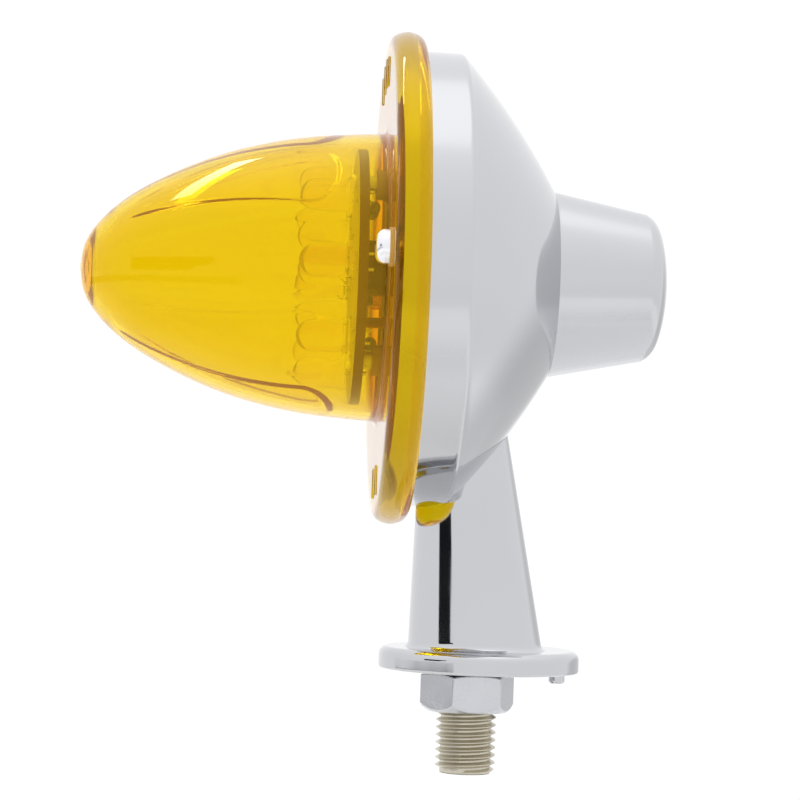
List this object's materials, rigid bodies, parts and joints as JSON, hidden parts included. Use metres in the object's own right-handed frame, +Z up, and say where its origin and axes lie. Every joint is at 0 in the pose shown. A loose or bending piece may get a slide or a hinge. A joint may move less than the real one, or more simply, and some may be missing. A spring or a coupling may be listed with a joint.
{
  "type": "turn signal indicator",
  "caption": "Bullet turn signal indicator with an amber lens over an LED board, a chrome cone housing and arm, and a hollow threaded mounting stud with its nut.",
  "frame": {"origin": "on the mounting stud's axis, in the plane of the base plate's underside that rests on the vehicle's bracket", "axes": "+Z up the stud's axis from its free end through the arm to the lamp; -X from the housing to the lens nose, along the lamp's axis; Y across the lamp"},
  "size_m": [0.0983, 0.0824, 0.1234],
  "materials": {
    "chrome_casting": "mirror-bright plate",
    "amber_lens": "clear amber moulding, polished",
    "black_rubber": "matt",
    "bright_screw": "bright plate",
    "zinc_nut": "blue-white zinc plate",
    "zinc_stud": "faintly yellow zinc plate",
    "carrier_plastic": "natural white moulding",
    "board_laminate": "white solder mask",
    "led_clear": "clear cast resin",
    "tinned_wire": "tinned",
    "chip_black": "moulded epoxy",
    "capacitor_sleeve": "shrunk sleeve",
    "resistor_body": "lacquered",
    "feed_insulation": "orange insulation",
    "earth_insulation": "black insulation",
    "tinned_brass": "tinned brass"
  },
  "bodies": {
    "base": {"housing": "chrome_casting", "stud": "zinc_stud", "lead_grommet": "black_rubber", "carrier": "carrier_plastic", "carrier_screws": "bright_screw", "led_board": "board_laminate", "board_spacers": "zinc_nut", "board_screws": "bright_screw", "leds_outer": "led_clear", "leds_inner": "led_clear", "led_legs_outer": "tinned_wire", "led_legs_inner": "tinned_wire", "driver_chip": "chip_black", "capacitor": "capacitor_sleeve", "resistors": "resistor_body", "resistor_legs": "tinned_wire", "lead_feed": "feed_insulation", "lead_earth": "earth_insulation", "ring_terminal": "tinned_brass", "earth_screw": "zinc_nut"},
    "lens_cover": {"lens": "amber_lens", "lens_gasket": "black_rubber"},
    "seal_left": {"screw_seal_left": "black_rubber"},
    "screw_left": {"lens_screw_left": "bright_screw"},
    "seal_right": {"screw_seal_right": "black_rubber"},
    "screw_right": {"lens_screw_right": "bright_screw"},
    "washer": {"lock_washer": "zinc_nut"},
    "nut": {"mount_nut": "zinc_nut"}
  },
  "joints": [
    {"name": "lens_off", "type": "slide", "parent": "base", "child": "lens_cover", "axis": [-1, 0, 0], "range_m": [0, 0.06]},
    {"name": "screw_left_out", "type": "slide", "parent": "lens_cover", "child": "seal_left", "axis": [-1, 0, 0], "range_m": [0, 0.01]},
    {"name": "screw_left_turn", "type": "hinge", "parent": "seal_left", "child": "screw_left", "pos_m": [-0.0174, -0.03148, 0.06775], "axis": [-1, 0, 0], "range_deg": [0, 7200]},
    {"name": "screw_right_out", "type": "slide", "parent": "lens_cover", "child": "seal_right", "axis": [-1, 0, 0], "range_m": [0, 0.01]},
    {"name": "screw_right_turn", "type": "hinge", "parent": "seal_right", "child": "screw_right", "pos_m": [-0.0174, 0.03148, 0.06225], "axis": [-1, 0, 0], "range_deg": [0, 7200]},
    {"name": "nut_down", "type": "slide", "parent": "base", "child": "washer", "axis": [0, 0, -1], "range_m": [0, 0.0145]},
    {"name": "nut_turn", "type": "hinge", "parent": "washer", "child": "nut", "pos_m": [0, 0, -0.0038], "axis": [0, 0, -1], "range_deg": [0, 4176]}
  ],
  "couplings": [
    {"joint": "screw_left_turn", "follows": "screw_left_out", "rad_per_m": 12566},
    {"joint": "screw_right_turn", "follows": "screw_right_out", "rad_per_m": 12566},
    {"joint": "nut_turn", "follows": "nut_down", "rad_per_m": 5026.5}
  ]
}
